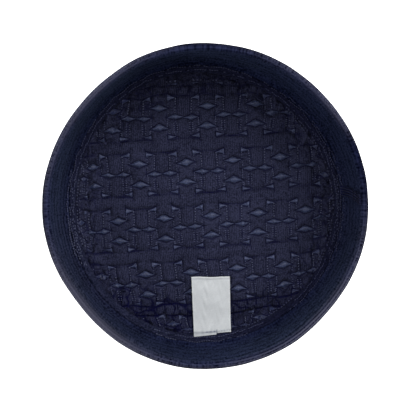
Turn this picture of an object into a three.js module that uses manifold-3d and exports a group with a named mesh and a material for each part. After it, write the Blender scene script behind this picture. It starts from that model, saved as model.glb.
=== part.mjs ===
// A knitted kufi lying on its quilted crown with its opening upwards.
// Millimetres, +Z up. The origin is on the surface that it lies on, below the middle of the cap.
// The label is towards -Y, and the joint of the band's two ends is towards +X.
import * as THREE from "three";
import { mergeVertices } from "three/addons/utils/BufferGeometryUtils.js";
import Module from "manifold-3d";

const wasm = await Module();
wasm.setup();

// Driving sizes of the cap
const rimRadius = 95; // outside of the rolled rim
const capHeight = 76; // from the resting face to the top of the rim
const crownRadius = 83; // edge of the crown panel
const crownFlatRadius = 70; // the part of the crown that lies flat
const crownEdgeCurve = 24; // radius of the upward curve between the two
const crownCloth = 1.5; // thickness of the crown in a stitched crease
const seamGap = 0.4; // between sewn neighbours
const layerGap = 0.3; // between a layer and what it lies on

// How far the cap is from round: slightly oval and three-cornered at the crown's seam, slightly square at the rim
const seamOval = 0.0087;
const seamOvalAngle = THREE.MathUtils.degToRad(-73.7);
const seamThreeCorners = 0.0124;
const seamThreeCornersAngle = THREE.MathUtils.degToRad(-7.1);
const rimSquareness = 0.0055;
const rimWave = 1.1; // rise and fall of the rim round the cap
const rimWaveAngle = THREE.MathUtils.degToRad(35);

// The quilting: blocks of H-shaped motifs with a plain channel between one row of blocks and the next
const quiltOrigin = { x: 5.4, y: -13.3 };
const quiltTurn = THREE.MathUtils.degToRad(3.1);
const motifPitch = 29.3; // from one motif to the next along a row
const blockPitch = 34.2; // from one row of blocks to the next
const barWidth = 4.35; // the stitched upright bar of a motif
const panelWidth = motifPitch / 2 - barWidth; // the pillow column between two bars
const singleOffset = 6.3; // from a block's middle line to its single diamonds
const creaseOffset = 13.8; // from a block's middle line to the channel's crease
const pillowRise = 1.7; // how far a pillow stands above its creases
const barRise = 0.7; // the same for an upright bar, as a share of a pillow's
const quiltFadeStart = 73; // the pillows die away from here
const quiltFadeEnd = 80; // to here, inside the seam
const quiltReach = 96; // half size of the quilted cloth before it is cut round
const panelSteps = 3; // steps across a pillow column
const barSteps = 2; // and across a bar
const rowSteps = 2; // and between two creases up a block

// The label, sewn in at the crown's seam
const labelThickness = 1;
const labelCorners = {
  upperLeft: [-7.7, -45.6],
  upperRight: [16.4, -45],
  lowerLeft: [-6.1, -82.4],
  lowerRight: [17.1, -79.9],
};

// The overlocked joint of the band's two ends
const jointAngleAtCrown = THREE.MathUtils.degToRad(5.9);
const jointAngleAtRim = THREE.MathUtils.degToRad(2.2);
const jointWidth = 4.6;
const jointThickness = 1;
const jointFoot = { radius: 86.3, height: 11.6, lift: 0.1 }; // its lower end, on the band's inside

const ringColumns = 96; // steps round the cap

// Each row is one corner of the band's wall: up the outside, over the rim and down the inside.
// lift is 0 at the crown's seam and 1 at the rim, and joint marks the rows that the band's joint lies on.
const bandSections = [
  { radius: crownRadius + seamGap, height: 3.7, lift: 0 },
  { radius: 86.6, height: 5.4, lift: 0.02 },
  { radius: 89.4, height: 9.4, lift: 0.08 },
  { radius: 91.6, height: 16, lift: 0.18 },
  { radius: 93.2, height: 27, lift: 0.34 },
  { radius: 94.3, height: 46, lift: 0.6 },
  { radius: rimRadius, height: 69, lift: 1 },
  { radius: rimRadius - 0.7, height: 74.2, lift: 1 },
  { radius: rimRadius - 2.4, height: capHeight, lift: 1 },
  { radius: rimRadius - 4.1, height: 74.4, lift: 1, joint: true },
  { radius: rimRadius - 4.7, height: 70.4, lift: 1, joint: true },
  { radius: rimRadius - 4.1, height: 64, lift: 0.9, joint: true },
  { radius: 90.6, height: 46, lift: 0.6, joint: true },
  { radius: 89.5, height: 27, lift: 0.34, joint: true },
  { radius: 87.9, height: 16, lift: 0.18, joint: true },
  { radius: 86, height: 10.5, lift: 0.08 },
  { radius: 84.4, height: 7.6, lift: 0.03 },
  { radius: crownRadius + seamGap, height: 6, lift: 0 },
];

// Each row is one corner of the flat tape over the crown's seam, along its underside and back on top.
const tapeSections = [
  { radius: 78.8, height: 3.7 },
  { radius: 82.7, height: 5.4 },
  { radius: 84, height: 7.8 },
  { radius: 85, height: 9.5 },
  { radius: 84.1, height: 10.1 },
  { radius: 83.1, height: 8.4 },
  { radius: 82, height: 6.3 },
  { radius: 78.5, height: 4.7 },
];

const navyKnit = new THREE.MeshStandardMaterial({ color: 0x1c2136, roughness: 0.85, metalness: 0 });
const navyQuilt = new THREE.MeshStandardMaterial({ color: 0x26283a, roughness: 0.9, metalness: 0 });
const navyTape = new THREE.MeshStandardMaterial({ color: 0x1b1e31, roughness: 0.9, metalness: 0 });
const whiteSatin = new THREE.MeshStandardMaterial({ color: 0xa9acaf, roughness: 0.5, metalness: 0 });

// A share of the way from one value to another, eased at both ends.
function easedShare(value, from, to) {
  return THREE.MathUtils.smoothstep(value, from, to);
}

// How far the outline is from a circle in this direction, as a factor on its radius.
function outlineFactor(angle, lift) {
  const oval = seamOval * Math.cos(2 * (angle - seamOvalAngle));
  const threeCorners = seamThreeCorners * Math.cos(3 * (angle - seamThreeCornersAngle));
  const seam = 1 + oval + threeCorners;
  const rim = 1 + rimSquareness * Math.cos(4 * angle);
  return seam + (rim - seam) * lift;
}

// A point of the cap from its radius, height and direction, on the cap's own outline.
function capPoint(radius, height, angle, lift) {
  const reach = radius * outlineFactor(angle, lift);
  const wave = rimWave * lift * (Math.cos(2 * (angle - rimWaveAngle)) - 1);
  return [reach * Math.cos(angle), reach * Math.sin(angle), height + wave];
}

// A closed solid through a list of loops of points, each turning right-handed about the way that they
// follow each other. With wraps the last loop joins the first, and otherwise a fan closes each end.
function loftSolid(loops, wraps) {
  const loopSize = loops[0].length;
  const positions = loops.flat(2);
  const indices = [];
  const at = (loop, point) => (loop % loops.length) * loopSize + (point % loopSize);
  const lastLoop = wraps ? loops.length : loops.length - 1;
  for (let loop = 0; loop < lastLoop; loop++) {
    for (let point = 0; point < loopSize; point++) {
      const corner = at(loop, point);
      const opposite = at(loop + 1, point + 1);
      indices.push(corner, at(loop, point + 1), opposite);
      indices.push(corner, opposite, at(loop + 1, point));
    }
  }
  if (!wraps) {
    const first = positions.length / 3;
    for (const loop of [loops[0], loops[loops.length - 1]]) {
      const middle = [0, 1, 2].map((axis) => loop.reduce((sum, p) => sum + p[axis], 0) / loopSize);
      positions.push(...middle);
    }
    for (let point = 0; point < loopSize; point++) {
      indices.push(first, at(0, point + 1), at(0, point));
      indices.push(first + 1, at(loops.length - 1, point), at(loops.length - 1, point + 1));
    }
  }
  const geometry = new THREE.BufferGeometry();
  geometry.setAttribute("position", new THREE.Float32BufferAttribute(positions, 3));
  geometry.setIndex(indices);
  geometry.computeVertexNormals();
  return geometry;
}

// A ring of the cap at one radius and height.
function capLoop({ radius, height, lift = 0 }) {
  return Array.from({ length: ringColumns }, (_, column) =>
    capPoint(radius, height, (2 * Math.PI * column) / ringColumns, lift),
  );
}

// Geometry to a manifold-3d solid, and back.
function toSolid(geometry) {
  const bare = geometry.clone();
  bare.deleteAttribute("normal");
  const merged = mergeVertices(bare, 1e-4);
  return new wasm.Manifold(
    new wasm.Mesh({
      numProp: 3,
      vertProperties: merged.attributes.position.array,
      triVerts: new Uint32Array(merged.index.array),
    }),
  );
}

function toGeometry(solid) {
  const mesh = solid.getMesh();
  const geometry = new THREE.BufferGeometry();
  geometry.setAttribute("position", new THREE.BufferAttribute(mesh.vertProperties, 3));
  geometry.setIndex(new THREE.BufferAttribute(mesh.triVerts, 1));
  geometry.computeVertexNormals();
  return geometry;
}

// The outside of the crown: flat in the middle, and curved up towards its edge.
function crownUnderside(radius) {
  const beyond = Math.max(0, radius - crownFlatRadius);
  return (beyond * beyond) / (2 * crownEdgeCurve);
}

// The rise of a pillow at a share across it, 0 in its creases and 1 on its crest.
function pillowBulge(share) {
  return Math.sqrt(Math.max(0, 4 * share * (1 - share)));
}

// The crease lines across one motif pitch, from the left edge of a single-diamond column.
function columnEdges(column) {
  const start = column * (panelWidth + barWidth) - panelWidth / 2;
  return [start, start + panelWidth, start + panelWidth + barWidth];
}

// The creases up one block of a column. A column holds single diamonds in every other block.
function creasesUpBlock(holdsSingles) {
  const inner = holdsSingles ? [-singleOffset, singleOffset] : [0];
  return [creaseOffset - blockPitch, -creaseOffset, ...inner, creaseOffset];
}

// The height of the quilted cloth above its creases, from 0 to 1, at a place along and up the motifs' rows.
function quiltBulge(along, up) {
  const halfPitch = panelWidth + barWidth;
  const column = Math.floor((along + panelWidth / 2) / halfPitch);
  const [panelStart, panelEnd, barEnd] = columnEdges(column);
  const inPanel = along < panelEnd;
  const across = inPanel
    ? (along - panelStart) / (panelEnd - panelStart)
    : (along - panelEnd) / (barEnd - panelEnd);
  const block = Math.floor((up + blockPitch - creaseOffset) / blockPitch);
  const height = up - block * blockPitch;
  const edges = creasesUpBlock(inPanel && (column + block) % 2 === 0);
  const row = edges.findLastIndex((edge) => height >= edge - 1e-6);
  const top = row + 1 < edges.length ? edges[row + 1] : blockPitch - creaseOffset;
  const upward = (height - edges[row]) / (top - edges[row]);
  return pillowBulge(across) * pillowBulge(upward) * (inPanel ? 1 : barRise);
}

// The point of the crown's inside face at a place along and up the motifs' rows.
function crownPoint(along, up) {
  const x = quiltOrigin.x + along * Math.cos(quiltTurn) - up * Math.sin(quiltTurn);
  const y = quiltOrigin.y + along * Math.sin(quiltTurn) + up * Math.cos(quiltTurn);
  const radius = Math.hypot(x, y) / outlineFactor(Math.atan2(y, x), 0);
  const fade = 1 - easedShare(radius, quiltFadeStart, quiltFadeEnd);
  return [x, y, crownUnderside(radius) + crownCloth + pillowRise * fade * quiltBulge(along, up)];
}

// Grid lines through creases that repeat at this pitch, with so many steps after each crease.
function gridLines(edges, pitch, stepsAfter) {
  const lines = [];
  const reach = quiltReach + blockPitch / 2;
  for (let start = -Math.ceil(reach / pitch) * pitch; start < reach; start += pitch) {
    edges.forEach((edge, index) => {
      const next = index + 1 < edges.length ? edges[index + 1] : edges[0] + pitch;
      for (let step = 0; step < stepsAfter[index]; step++) {
        lines.push(start + edge + ((next - edge) * step) / stepsAfter[index]);
      }
    });
  }
  return lines.filter((line) => Math.abs(line) < reach);
}

// A slab whose top is the quilted cloth, and whose underside is well below the cap.
function quiltedSlab() {
  const slabFloor = -10;
  const panelEdges = [-panelWidth / 2, panelWidth / 2];
  const rowEdges = [-creaseOffset, -singleOffset, 0, singleOffset, creaseOffset];
  const columns = gridLines(panelEdges, panelWidth + barWidth, [panelSteps, barSteps]);
  const rows = gridLines(rowEdges, blockPitch, rowEdges.map(() => rowSteps));
  const loops = rows.map((up) => {
    const top = columns.map((along) => crownPoint(along, up));
    const underside = [top[top.length - 1], top[0]].map(([x, y]) => [x, y, slabFloor]);
    return [...top, ...underside];
  });
  return loftSolid(loops, false);
}

// The quilted crown: the slab of quilting cut by the dish that the crown lies in.
function makeCrown() {
  const dishTop = 14;
  const curveRows = [0, 5, 9.4, crownRadius - crownFlatRadius];
  const dishRings = curveRows.map((beyond) => ({
    radius: crownFlatRadius + beyond,
    height: crownUnderside(crownFlatRadius + beyond),
  }));
  dishRings.push({ radius: crownRadius, height: dishTop });
  const dish = toSolid(loftSolid(dishRings.map(capLoop), false));
  return toGeometry(dish.intersect(toSolid(quiltedSlab())));
}

// The band: one knitted wall, folded over at the rim.
function makeBand() {
  return loftSolid(bandSections.map(capLoop), true);
}

// The tape over the crown's seam.
function makeSeamTape() {
  return loftSolid(tapeSections.map(capLoop), true);
}

// The height of the tape's upper face at a radius, on straight lines between the corners of its top.
function tapeTop(radius) {
  const top = tapeSections.slice(4).reverse();
  const next = Math.max(1, top.findIndex((corner) => corner.radius >= radius));
  const [inner, outer] = [top[next - 1], top[next]];
  const share = Math.max(0, (radius - inner.radius) / (outer.radius - inner.radius));
  return inner.height + (outer.height - inner.height) * share;
}

// The height that the label lies at: on the pillows of the crown, and at its lower end on the tape.
function labelRest(radius) {
  const onPillows = crownUnderside(radius) + crownCloth + pillowRise;
  return layerGap + Math.max(onPillows, tapeTop(radius));
}

// The label: a thin strip between its four corners, whose lower end climbs over the seam's tape.
function makeLabel() {
  const stations = [0, 0.03, 0.06, 0.1, 0.15, 0.22, 0.3, 0.5, 0.75, 1];
  const shares = [0, 0.2, 0.4, 0.6, 0.8, 1];
  const between = (from, to, share) => from.map((value, axis) => value + (to[axis] - value) * share);
  const loops = stations.map((station) => {
    const left = between(labelCorners.lowerLeft, labelCorners.upperLeft, station);
    const right = between(labelCorners.lowerRight, labelCorners.upperRight, station);
    const top = shares.map((share) => {
      const [x, y] = between(left, right, share);
      const radius = Math.hypot(x, y) / outlineFactor(Math.atan2(y, x), 0);
      return [x, y, labelRest(radius) + labelThickness];
    });
    const underside = top.map(([x, y, z]) => [x, y, z - labelThickness]).reverse();
    return [...top, ...underside];
  });
  return loftSolid(loops, false);
}

// The joint of the band's ends: a flat ridge that leans across the inside of the band.
function makeBandJoint() {
  const sections = bandSections.filter((section) => section.joint).reverse();
  const loops = [jointFoot, ...sections].map(({ radius, height, lift }) => {
    const share = (height - jointFoot.height) / (capHeight - jointFoot.height);
    const middle = jointAngleAtCrown + (jointAngleAtRim - jointAngleAtCrown) * share;
    const half = jointWidth / 2 / radius;
    const back = radius - layerGap;
    const front = back - jointThickness;
    return [
      capPoint(back, height, middle - half, lift),
      capPoint(back, height, middle + half, lift),
      capPoint(front, height, middle + half, lift),
      capPoint(front, height, middle - half, lift),
    ];
  });
  return loftSolid(loops, false);
}

function addPiece(group, name, geometry, material) {
  const piece = new THREE.Mesh(geometry, material);
  piece.name = name;
  group.add(piece);
}

const kufi = new THREE.Group();
addPiece(kufi, "crown", makeCrown(), navyQuilt);
addPiece(kufi, "band", makeBand(), navyKnit);
addPiece(kufi, "seam_tape", makeSeamTape(), navyTape);
addPiece(kufi, "band_joint", makeBandJoint(), navyTape);
addPiece(kufi, "label", makeLabel(), whiteSatin);

export default kufi;
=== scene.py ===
# A navy knitted kufi lying on its quilted crown, seen straight down into its opening.
# Metres, +Z up. The label is towards -Y and the joint of the band's ends is towards +X.
import functools
import math

import bpy
import numpy as np
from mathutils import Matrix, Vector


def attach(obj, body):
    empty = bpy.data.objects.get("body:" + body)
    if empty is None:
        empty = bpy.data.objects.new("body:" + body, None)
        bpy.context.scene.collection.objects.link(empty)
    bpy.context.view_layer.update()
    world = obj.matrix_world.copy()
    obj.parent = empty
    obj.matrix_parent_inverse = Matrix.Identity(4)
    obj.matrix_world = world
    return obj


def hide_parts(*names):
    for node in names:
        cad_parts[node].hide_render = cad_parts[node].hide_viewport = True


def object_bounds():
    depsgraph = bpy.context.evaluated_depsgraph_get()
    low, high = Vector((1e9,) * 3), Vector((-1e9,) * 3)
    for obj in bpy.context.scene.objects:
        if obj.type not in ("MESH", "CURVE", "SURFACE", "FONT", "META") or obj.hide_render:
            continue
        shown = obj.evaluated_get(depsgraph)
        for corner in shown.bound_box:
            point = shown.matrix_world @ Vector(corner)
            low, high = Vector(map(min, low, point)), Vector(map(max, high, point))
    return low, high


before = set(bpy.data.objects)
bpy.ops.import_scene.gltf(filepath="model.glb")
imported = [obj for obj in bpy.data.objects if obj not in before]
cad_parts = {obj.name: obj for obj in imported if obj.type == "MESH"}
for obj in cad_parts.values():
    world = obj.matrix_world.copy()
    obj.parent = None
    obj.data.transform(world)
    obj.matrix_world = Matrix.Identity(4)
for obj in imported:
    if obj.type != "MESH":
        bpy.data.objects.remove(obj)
cadLow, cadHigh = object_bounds()
scene = bpy.context.scene
mm = 0.001

# The cap's own form, as the frame has it
cap = {
    "crownRadius": 83 * mm,  # edge of the crown panel, under the tape
    "crownFlat": 70 * mm,  # the crown lies flat out to here
    "crownCurve": 24 * mm,  # radius of its upturned edge
    "crownCloth": 1.5 * mm,  # thickness in a stitched crease
    "seamOval": 0.0087,
    "seamOvalAngle": math.radians(-73.7),
    "seamThreeCorners": 0.0124,
    "seamThreeCornersAngle": math.radians(-7.1),
    "rimSquareness": 0.0055,
    "rimWave": 1.1 * mm,
    "rimWaveAngle": math.radians(35),
    # Shallow dents and bulges of the soft rim: degrees, width to each side in degrees, and mm outwards
    "rimDents": (
        (2, 18, -0.65), (83, 8, -0.42), (115, 8, 0.35),
        (217, 13, -0.85), (275, 6, -0.3), (303, 8, 0.5),
    ),
}
cap["rimRadius"] = cadHigh.x / (1 + cap["rimSquareness"])


# A hill: 1 at a value, falling to 1/e at its width to each side
def hill(value, at, width):
    return np.exp(-(((value - at) / width) ** 2))


# Eased step: 3s^2 - 2s^3 of the share of the way between two values
def eased(value, low, high):
    share = np.clip((value - low) / (high - low), 0, 1)
    return share * share * (3 - 2 * share)


# 1 between two stretches, eased in over the first and out over the second
def between(value, into, outOf):
    return eased(value, *into) * (1 - eased(value, *outOf))


# Degrees round the cap from one angle to another, between -180 and 180
def degreesFrom(degrees, at):
    return (degrees - at + 180) % 360 - 180


# Places round the cap, each as degrees, width and strength, and perhaps two values that it comes in between:
# the sum of strength * hill in degrees * eased step of the value
def placesRound(degrees, places, value=None):
    total = 0.0
    for at, width, strength, *grows in places:
        place = strength * hill(degreesFrom(degrees, at), 0, width)
        total = total + (place * eased(value, *grows) if grows else place)
    return total


# Outline: one plus shares of cos 2(angle) and cos 3(angle) at the crown's seam, passing over to a share of
# cos 4(angle) and the dents at the rim
def outlineFactor(angle, lift=0.0):
    oval = cap["seamOval"] * np.cos(2 * (angle - cap["seamOvalAngle"]))
    threeCorners = cap["seamThreeCorners"] * np.cos(3 * (angle - cap["seamThreeCornersAngle"]))
    seam = 1 + oval + threeCorners
    dents = placesRound(np.degrees(angle), cap["rimDents"]) * mm / cap["rimRadius"]
    rim = 1 + cap["rimSquareness"] * np.cos(4 * angle) + dents
    return seam + (rim - seam) * lift


# Point of the cap: radius times the outline factor round the axis, height plus a wave that grows with lift
def capPoint(radius, height, angle, lift=0.0):
    reach = radius * outlineFactor(angle, lift)
    wave = cap["rimWave"] * lift * (np.cos(2 * (angle - cap["rimWaveAngle"])) - 1)
    return np.stack(np.broadcast_arrays(reach * np.cos(angle), reach * np.sin(angle), height + wave), -1)


# Repeatable scatter from 0 to 1 for whole numbers: the fraction of a large sine
def scatter(*numbers):
    total = sum(n * f for n, f in zip(numbers, (12.9898, 78.233, 37.719)))
    return np.modf(np.abs(np.sin(total + 1.7)) * 4375.85)[0]


# Soft noise: a sum of sines of both coordinates at steps of about 1.9 times in frequency
def softNoise(x, y, scale, seed=0.0, octaves=3):
    total, weight = 0.0, 1.0
    for step in range(octaves):
        f = (1.9**step) / scale
        turn = 0.7 * step + seed
        p = (x * math.cos(turn) + y * math.sin(turn)) * f
        q = (-x * math.sin(turn) + y * math.cos(turn)) * f
        wave = np.sin(6.283 * p + 2.1 * np.sin(6.283 * q + seed))
        total = total + weight * wave * np.sin(4.9 * q + 1.3 * step)
        weight *= 0.55
    return total


# Quads of a grid of rows by columns, facing up where x grows with the column and y with the row
def gridQuads(rows, columns, wrapRows=False, wrapColumns=False):
    i = np.arange(rows if wrapRows else rows - 1)[:, None]
    j = np.arange(columns if wrapColumns else columns - 1)[None, :]
    nextRow, nextColumn = (i + 1) % rows, (j + 1) % columns
    corners = [a * columns + b for a, b in ((i, j), (i, nextColumn), (nextRow, nextColumn), (nextRow, j))]
    return np.stack(np.broadcast_arrays(*corners), -1).reshape(-1, 4)


# Angles and quads of a closed tube round the cap
def tubeGrid(piece):
    angle = np.linspace(0, 2 * np.pi, piece["columns"] + 1)[:-1][None]
    return angle, gridQuads(piece["rows"], piece["columns"], wrapRows=True, wrapColumns=True)


# A mesh object from arrays of points, quads and triangles, with an optional UV map given for each point
def makeMesh(name, points, quads, triangles=None, uv=None, attributes=None, material=None, isStage=False):
    triangles = np.zeros((0, 3), int) if triangles is None else triangles
    points = np.asarray(points, float).reshape(-1, 3)
    corners = np.concatenate([quads.ravel(), triangles.ravel()])
    mesh = bpy.data.meshes.new(name)
    mesh.from_pydata(points, [], [*quads.tolist(), *triangles.tolist()])
    mesh.shade_smooth()
    if uv is not None:
        layer = mesh.uv_layers.new(name="UVMap")
        layer.data.foreach_set("uv", np.asarray(uv, np.float32).reshape(-1, 2)[corners].ravel())
    for key, values in (attributes or {}).items():
        attribute = mesh.attributes.new(key, "FLOAT", "POINT")
        attribute.data.foreach_set("value", np.asarray(values, np.float32).ravel())
    mesh.update()
    mesh.validate()
    piece = bpy.data.objects.new(name, mesh)
    scene.collection.objects.link(piece)
    if material:
        mesh.materials.append(material)
    if isStage:
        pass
    else:
        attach(piece, "root")
    return piece


# Many closed threads at once: rings carried along each, with both ends closed by a flat cap
def threadMesh(name, rings, material, uv=None):
    count, loops, size, _ = rings.shape
    side = gridQuads(loops, size, wrapColumns=True)
    last = (loops - 1) * size
    half = size // 2
    caps = [[k, size - 1 - k, size - 2 - k, k + 1] for k in range(half - 1)]
    caps += [[last + k, last + k + 1, last + size - 2 - k, last + size - 1 - k] for k in range(half - 1)]
    quads = np.concatenate([side, np.array(caps)])
    offsets = (np.arange(count) * loops * size)[:, None, None]
    return makeMesh(name, rings, (quads[None] + offsets).reshape(-1, 4), uv=uv, material=material)


# The form of every stitch: where along it its rings are, how thin its ends are, and where its arch levels out
stitchForm = {"stations": (0.0, 0.22, 0.78, 1.0), "thinEnds": 0.35, "archFrom": 0.12}


# Stitches: from each start to each end a four-sided spindle that arches by lift along the normal
def stitchRings(starts, ends, normals, width, lift):
    along = ends - starts
    direction = along / np.linalg.norm(along, axis=-1, keepdims=True)
    side = np.cross(direction, normals)
    side /= np.linalg.norm(side, axis=-1, keepdims=True)
    above = np.cross(side, direction)
    share = np.array(stitchForm["stations"])
    fat = np.where((share == 0) | (share == 1), stitchForm["thinEnds"], 1.0) * width / 2
    arch = np.sin(np.pi * np.clip(share, stitchForm["archFrom"], 1 - stitchForm["archFrom"])) * lift
    corner = np.array([-0.25, -0.75, -1.25, -1.75])[:, None] * np.pi
    middle = starts[:, None] + along[:, None] * share[:, None] + above[:, None] * arch[:, None]
    ring = side[:, None, None] * np.cos(corner) + above[:, None, None] * np.sin(corner)
    return middle[:, :, None] + ring * fat[None, :, None, None]


# A node with its inputs: a socket is linked, and anything else is set on the input itself
def newNode(tree, kind, inputs=None, **settings):
    node = tree.nodes.new(kind)
    for key, value in settings.items():
        setattr(node, key, value)
    for key, value in (inputs or {}).items():
        value = value.socket if isinstance(value, Signal) else value
        if isinstance(value, bpy.types.NodeSocket):
            tree.links.new(value, node.inputs[key])
        else:
            node.inputs[key].default_value = value
    return node


# A value in a shader that can be added, multiplied and so on, one math node for each step
class Signal:
    def __init__(self, tree, socket):
        self.tree = tree
        self.socket = socket

    def step(self, operation, *others):
        inputs = dict(enumerate((self, *others)))
        node = newNode(self.tree, "ShaderNodeMath", inputs, operation=operation)
        return Signal(self.tree, node.outputs[0])

    def __add__(self, other):
        return self.step("ADD", other)

    def __sub__(self, other):
        return self.step("SUBTRACT", other)

    def __rsub__(self, other):
        return self.step("MULTIPLY_ADD", -1.0, other)

    def __mul__(self, other):
        return self.step("MULTIPLY", other)

    def __truediv__(self, other):
        return self.step("DIVIDE", other)

    def __abs__(self):
        return self.step("ABSOLUTE")

    __radd__ = __add__
    __rmul__ = __mul__

    def lowest(self, other):
        return self.step("MINIMUM", other)

    def highest(self, other):
        return self.step("MAXIMUM", other)

    # 1 at the centre, falling to 1/e at the width: the exponential of minus the squared distance
    def hill(self, centre, width):
        away = (self - centre) / width
        return (away * away * -1.0).step("EXPONENT")

    # 0 below the low value, 1 above the high one, eased between
    def rise(self, low, high):
        inputs = {0: self, 1: low, 2: high, 3: 0.0, 4: 1.0}
        node = newNode(self.tree, "ShaderNodeMapRange", inputs, interpolation_type="SMOOTHSTEP")
        return Signal(self.tree, node.outputs[0])

    # 1 between two stretches, eased in over the first and out over the second
    def between(self, into, outOf):
        return self.rise(*into) * (1 - self.rise(*outOf))

    # 0 to 1 and back, once for each period
    def ripple(self, period):
        return (self * (2 * math.pi / period)).step("SINE") * 0.5 + 0.5


# The highest of several values
def highestOf(*signals):
    return functools.reduce(Signal.highest, signals)


# The axes of the object's own coordinates, and its UV map's two values
def objectAxes(tree):
    place = newNode(tree, "ShaderNodeTexCoord").outputs["Object"]
    split = newNode(tree, "ShaderNodeSeparateXYZ", {0: place})
    return place, [Signal(tree, output) for output in split.outputs]


def uvAxes(tree):
    uv = newNode(tree, "ShaderNodeUVMap", uv_map="UVMap").outputs[0]
    split = newNode(tree, "ShaderNodeSeparateXYZ", {0: uv})
    return [Signal(tree, output) for output in split.outputs[:2]]


def attributeOf(tree, name):
    return Signal(tree, newNode(tree, "ShaderNodeAttribute", attribute_name=name).outputs["Fac"])


def noiseOf(tree, place, scale, detail=2.0):
    inputs = {"Vector": place, "Scale": scale, "Detail": detail}
    return Signal(tree, newNode(tree, "ShaderNodeTexNoise", inputs).outputs[0])


# How far a place lies from the middle towards an azimuth in degrees, and how far in all directions, in metres
def towards(axes, degrees):
    turn = math.radians(degrees)
    return axes[0] * math.cos(turn) + axes[1] * math.sin(turn)


def fromMiddle(axes):
    return (axes[0] * axes[0] + axes[1] * axes[1]).step("SQRT")


# A shader's constants for cloth, by the names of its sockets
def clothSurface(roughness, specular, sheen, sheenRoughness, tint):
    sockets = ("Roughness", "Specular IOR Level", "Sheen Weight", "Sheen Roughness", "Sheen Tint")
    return dict(zip(sockets, (roughness, specular, sheen, sheenRoughness, (*tint, 1))))


# A material with constants on its own sockets. The caller links the colour and the bump.
def newMaterial(name, surface):
    material = bpy.data.materials.new(name)
    material.use_nodes = True
    tree = material.node_tree
    shader = tree.nodes["Principled BSDF"]
    for key, value in surface.items():
        shader.inputs[key].default_value = value
    return material, tree, shader


# The cloth's tone between dark and light by a factor, times a painted shade that is 1 in the open and darkens
# the blue less
def paint(tree, shader, look, factor, shade=None, blueKept=0.35):
    inputs = {0: factor, 6: (*look["dark"], 1), 7: (*look["light"], 1)}
    colour = newNode(tree, "ShaderNodeMix", inputs, data_type="RGBA").outputs[2]
    if shade is not None:
        blue = shade * (1 - blueKept) + blueKept
        grey = newNode(tree, "ShaderNodeCombineXYZ", {0: shade, 1: shade, 2: blue}).outputs[0]
        inputs = {0: 1.0, 6: colour, 7: grey}
        colour = newNode(tree, "ShaderNodeMix", inputs, data_type="RGBA", blend_type="MULTIPLY").outputs[2]
    tree.links.new(colour, shader.inputs["Base Color"])


# The colour painted so far, passed over to another colour by a share
def paintOver(tree, shader, share, colour):
    painted = shader.inputs["Base Color"].links[0].from_socket
    inputs = {0: share, 6: painted, 7: (*colour, 1)}
    mixed = newNode(tree, "ShaderNodeMix", inputs, data_type="RGBA").outputs[2]
    tree.links.new(mixed, shader.inputs["Base Color"])


# A bump from a height in metres
def raiseBump(tree, shader, height):
    inputs = {"Height": height, "Strength": 1.0, "Distance": 1.0}
    tree.links.new(newNode(tree, "ShaderNodeBump", inputs).outputs["Normal"], shader.inputs["Normal"])


print("stage: the floor, the lights and the camera")
stageLook = {
    "floorSize": 6.0,
    # The table is lit from below, so no shadow shows on it
    "floorSurface": {
        "Base Color": (0.92, 0.92, 0.92, 1), "Roughness": 0.9, "Specular IOR Level": 0.1,
        "Emission Color": (1, 1, 1, 1), "Emission Strength": 1.1,
    },
    "surround": 0.62,  # strength of the light that comes from all round
    "cameraHeight": 1.0,
    "imagePixels": 416,
    "rimPixel": 0.587 * mm,  # width of one pixel at the height of the rim
    "rimLevel": 70 * mm,
    "centrePixel": (205.8, 205.9),  # where the rim's middle is in the photograph
    "eyeAside": (-20 * mm, 16.6 * mm),  # how far the camera is to the side of the cap's middle
}

# Round softboxes that face the cap: power in watts, size and distance in metres, azimuth and elevation in
# degrees
softboxes = {
    "keyLight": {"power": 20.5, "size": 1.1, "distance": 1.6, "azimuth": 48, "elevation": 57},
    "fillLight": {"power": 6.8, "size": 0.9, "distance": 1.6, "azimuth": 190, "elevation": 45},
}


def makeFloor():
    half = stageLook["floorSize"] / 2
    points = np.array([[-half, -half, 0], [half, -half, 0], [half, half, 0], [-half, half, 0]])
    material = newMaterial("paleFloor", stageLook["floorSurface"])[0]
    makeMesh("floor", points, np.array([[0, 1, 2, 3]]), material=material, isStage=True)


def makeLights():
    world = bpy.data.worlds.new("softSurround")
    world.use_nodes = True
    world.node_tree.nodes["Background"].inputs["Color"].default_value = (1, 1, 1, 1)
    world.node_tree.nodes["Background"].inputs["Strength"].default_value = stageLook["surround"]
    scene.world = world
    for name, box in softboxes.items():
        light = bpy.data.lights.new(name, "AREA")
        light.energy = box["power"]
        light.shape = "DISK"
        light.size = box["size"]
        lamp = bpy.data.objects.new(name, light)
        azimuth, elevation = math.radians(box["azimuth"]), math.radians(box["elevation"])
        flat = math.cos(elevation)
        place = np.array([flat * math.cos(azimuth), flat * math.sin(azimuth), math.sin(elevation)])
        lamp.location = place * box["distance"]
        lamp.rotation_euler = (math.pi / 2 - elevation, 0, azimuth + math.pi / 2)
        scene.collection.objects.link(lamp)


def makeCamera():
    camera = bpy.data.cameras.new("camera")
    pixels = stageLook["imagePixels"]
    distance = stageLook["cameraHeight"] - stageLook["rimLevel"]
    width = pixels * stageLook["rimPixel"]
    camera.sensor_width = 36
    camera.lens = camera.sensor_width * distance / width
    camera.clip_start = 0.01
    camera.clip_end = 20
    eye = bpy.data.objects.new("camera", camera)
    offset = [(pixels / 2 - p) * stageLook["rimPixel"] for p in stageLook["centrePixel"]]
    aside = stageLook["eyeAside"]
    eye.location = (*aside, stageLook["cameraHeight"])
    camera.shift_x = (offset[0] - aside[0]) / width
    camera.shift_y = (-offset[1] - aside[1]) / width
    scene.collection.objects.link(eye)
    scene.camera = eye
    scene.view_settings.view_transform = "Standard"


makeFloor()
makeLights()
makeCamera()

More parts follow.
